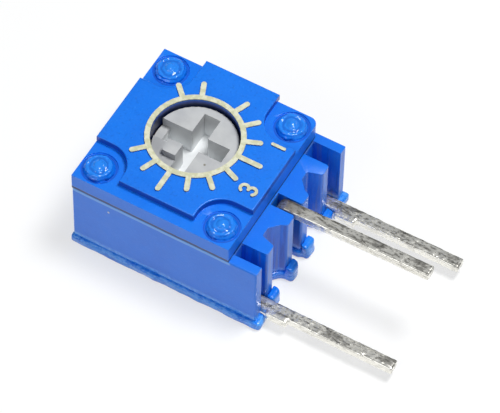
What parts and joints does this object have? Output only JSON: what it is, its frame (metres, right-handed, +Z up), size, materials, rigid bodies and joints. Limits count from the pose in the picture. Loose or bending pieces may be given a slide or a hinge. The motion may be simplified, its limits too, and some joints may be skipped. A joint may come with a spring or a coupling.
{
  "type": "trimmer potentiometer",
  "caption": "Square sealed trimmer potentiometer: cross-slot rotor in a staked moulded cover with a raised tick dial, ribbed moulded base, and staggered flat leads out of one side.",
  "frame": {"origin": "on the rotor's axis at the flat bottom face", "axes": "+Z up through the rotor and dial, +X along the leads away from the body, +Y towards terminal 1"},
  "size_m": [0.0131, 0.0068, 0.0045],
  "materials": {
    "cover_plastic": "satin moulded plastic, bright blue, cream paint on the raised dial",
    "base_plastic": "satin moulded plastic, bright blue",
    "potting": "glossy blue epoxy with a wavy edge",
    "rotor_plastic": "light grey moulded plastic",
    "seal_rubber": "smooth dark rubber",
    "spring_metal": "rolled spring alloy",
    "ceramic": "white fired alumina",
    "resistive_film": "fired dark resistive film",
    "silver_film": "fired silver film",
    "lead_tin": "hot-tinned, mottled and lumpy",
    "solder": "bright solder"
  },
  "bodies": {
    "housing": {"cover": "cover_plastic", "base": "base_plastic", "bottom_seal": "potting", "ceramic_element": "ceramic", "resistive_track": "resistive_film", "collector_track": "silver_film", "end_film_1": "silver_film", "end_film_3": "silver_film", "lead_1": "lead_tin", "lead_2": "lead_tin", "lead_3": "lead_tin", "solder_1": "solder", "solder_2": "solder", "solder_3": "solder"},
    "rotor": {"rotor": "rotor_plastic", "rotor_seal": "seal_rubber", "contact_spring": "spring_metal"}
  },
  "joints": [
    {"name": "rotor_turn", "type": "hinge", "parent": "housing", "child": "rotor", "pos_m": [0, 0, 0.00412], "axis": [0, 0, 1], "range_deg": [0, 270]}
  ]
}
